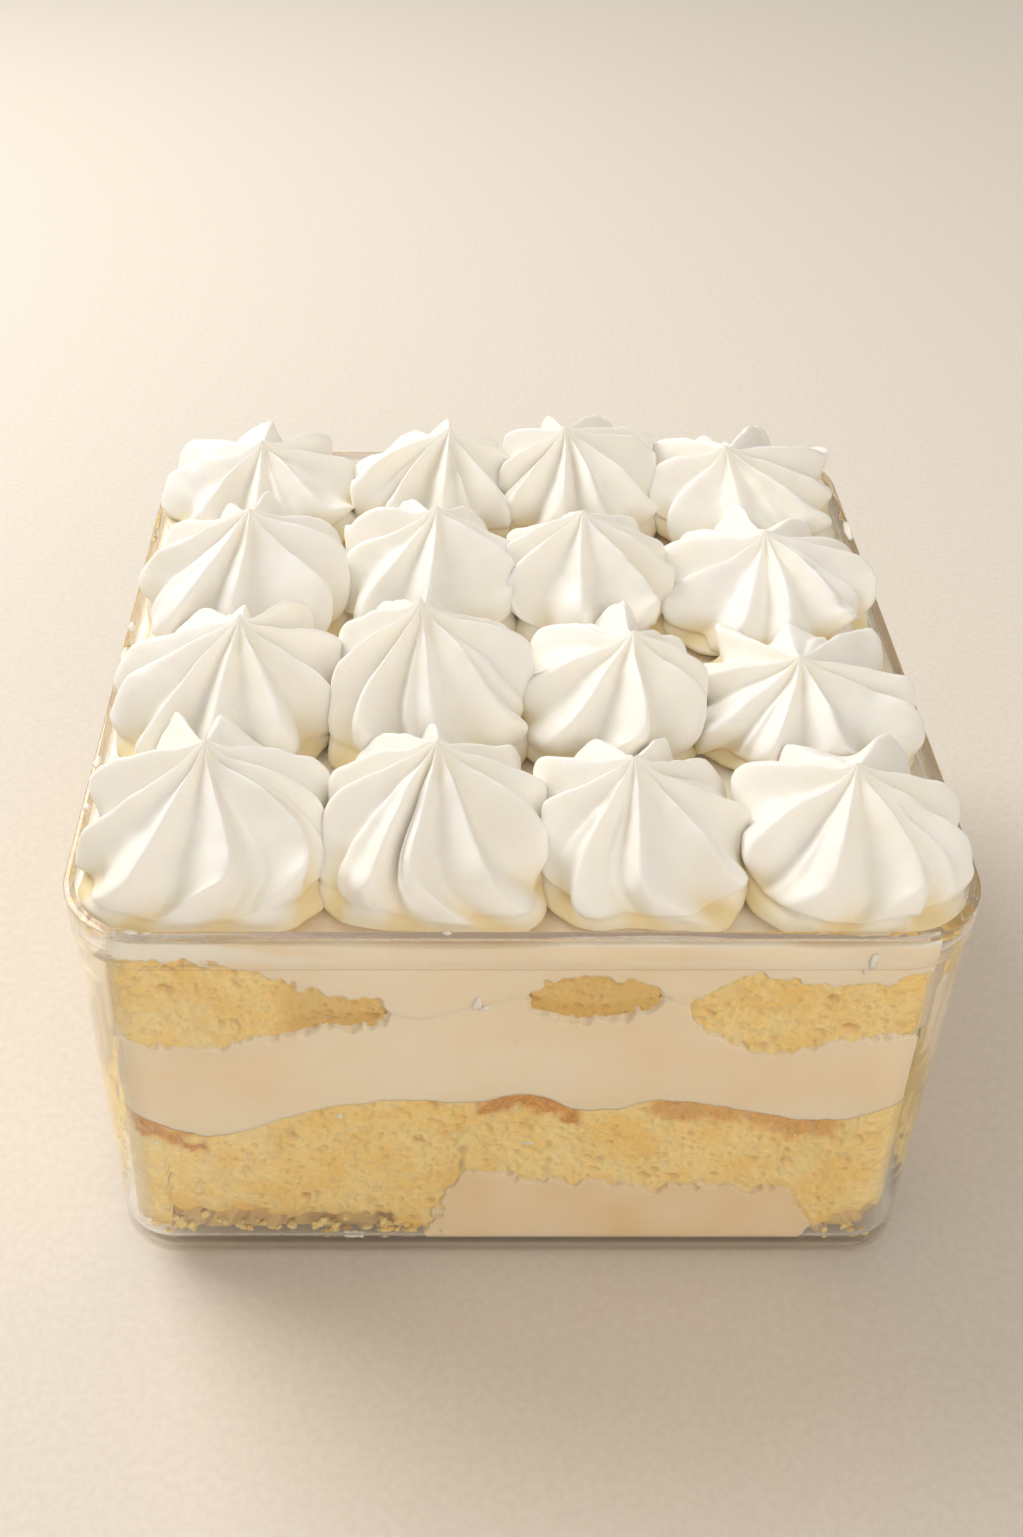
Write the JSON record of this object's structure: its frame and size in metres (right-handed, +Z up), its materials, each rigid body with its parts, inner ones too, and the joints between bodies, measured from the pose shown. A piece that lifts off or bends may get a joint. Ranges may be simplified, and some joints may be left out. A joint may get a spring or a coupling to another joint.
{
  "type": "tres leches cake",
  "caption": "Square layered milk-soaked sponge cake with cream fillings and rows of piped cream rosettes, in its own open clear square tub.",
  "frame": {"origin": "centre of the tub's foot, on the surface that it stands on", "axes": "+Z up, the front wall of the tub faces -Y, +X to the right seen from the front"},
  "size_m": [0.11, 0.11, 0.0835],
  "materials": {
    "clear_plastic": "clear moulded polystyrene, gloss",
    "whipped_cream": "soft piped whipped cream, satin",
    "cream_filling": "smooth ivory cream, satin",
    "soaked_sponge": "porous milk-soaked sponge, matt"
  },
  "bodies": {
    "root": {"tub": "clear_plastic", "cream_bottom": "cream_filling", "sponge_lower": "soaked_sponge", "cream_middle": "cream_filling", "sponge_upper": "soaked_sponge", "cream_top": "cream_filling", "rosette_1_1": "whipped_cream", "rosette_1_2": "whipped_cream", "rosette_1_3": "whipped_cream", "rosette_1_4": "whipped_cream", "rosette_2_1": "whipped_cream", "rosette_2_2": "whipped_cream", "rosette_2_3": "whipped_cream", "rosette_2_4": "whipped_cream", "rosette_3_1": "whipped_cream", "rosette_3_2": "whipped_cream", "rosette_3_3": "whipped_cream", "rosette_3_4": "whipped_cream", "rosette_4_1": "whipped_cream", "rosette_4_2": "whipped_cream", "rosette_4_3": "whipped_cream", "rosette_4_4": "whipped_cream"}
  },
  "joints": []
}
